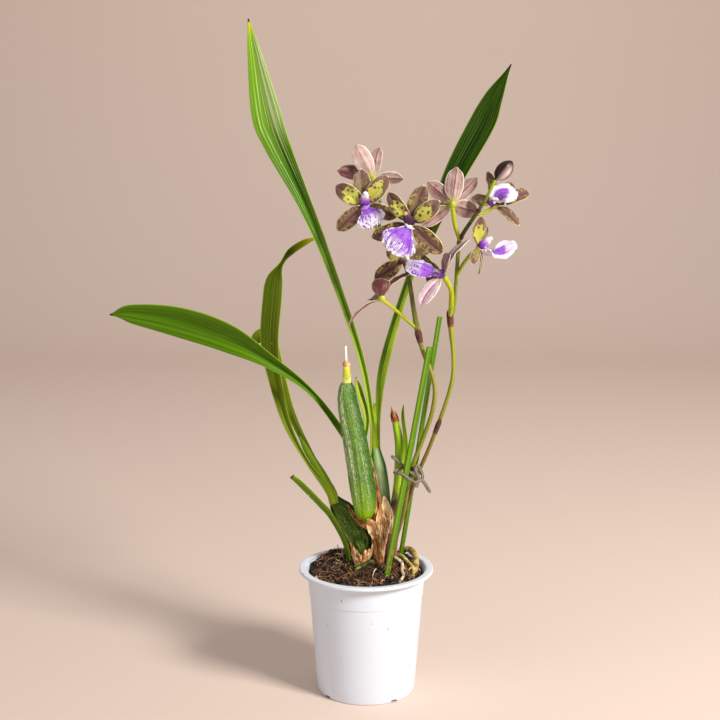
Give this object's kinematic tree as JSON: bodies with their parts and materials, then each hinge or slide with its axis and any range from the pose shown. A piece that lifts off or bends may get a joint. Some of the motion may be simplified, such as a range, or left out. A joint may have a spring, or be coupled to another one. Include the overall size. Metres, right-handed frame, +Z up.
{
  "type": "zygopetalum orchid in a nursery pot",
  "caption": "Potted orchid with strap leaves, ribbed pseudobulbs and staked flower spikes of maroon-brown blooms with violet and white lips, in a plain white plastic pot.",
  "frame": {"origin": "centre of the pot's flat underside", "axes": "+Z up; -Y is the front, the side the blooms face; +X is the viewer's right from the front"},
  "size_m": [0.3595, 0.122, 0.5901],
  "materials": {
    "leaf_green": "living leaf, green with paler lengthwise veins, semi-gloss",
    "leaf_pale": "young leaf, yellow-green, semi-gloss",
    "bulb": "pseudobulb skin, mid green with pale streaks and shallow ribs",
    "stub": "cut leaf base, yellow drying to brown at the rim",
    "dry_sheath": "dry papery sheath, tan to brown",
    "shoot_sheath": "live sheath, dark maroon",
    "rhizome": "green stem, mossy",
    "root": "spongy root skin, white to tan and yellow-green",
    "spike": "flower stem, olive to yellow-green with brown nodes",
    "bud": "bud, dark maroon-brown, slight sheen",
    "tepal": "petal, maroon-brown mottled over yellow-green, backs pinkish tan",
    "lip": "lip, white with violet stripes and specks",
    "stake": "green plastic coating, satin",
    "tie": "grey twist tie, matt",
    "growing_medium": "damp bark and coir, dark brown, rough",
    "pot": "white moulded plastic, satin"
  },
  "bodies": {
    "root": {"leaf_a": "leaf_green", "leaf_b": "leaf_green", "leaf_d": "leaf_green", "leaf_e": "leaf_green", "leaf_c": "leaf_pale", "leaf_f": "leaf_pale", "leaf_g": "leaf_pale", "shoot_leaf": "leaf_pale", "shoot": "leaf_pale", "bulb_left": "bulb", "bulb_front": "bulb", "bulb_back": "bulb", "leaf_stub": "stub", "leaf_stub_fibre": "stub", "sheath_crown": "dry_sheath", "sheath_left": "dry_sheath", "shoot_sheath": "shoot_sheath", "rhizome": "rhizome", "root_white": "root", "root_green": "root", "root_old": "root", "spike_1": "spike", "spike_2": "spike", "bud": "bud", "bloom_1": "tepal", "bloom_2": "tepal", "bloom_3": "tepal", "bloom_4": "tepal", "bloom_5": "tepal", "bloom_6": "tepal", "bloom_7": "tepal", "bloom_8": "tepal", "bloom_9": "tepal", "lip_1": "lip", "lip_2": "lip", "lip_3": "lip", "lip_4": "lip", "lip_5": "lip", "lip_6": "lip", "lip_7": "lip", "lip_8": "lip", "lip_9": "lip", "stake_1": "stake", "stake_2": "stake", "tie": "tie", "growing_medium": "growing_medium", "pot": "pot"}
  },
  "joints": []
}
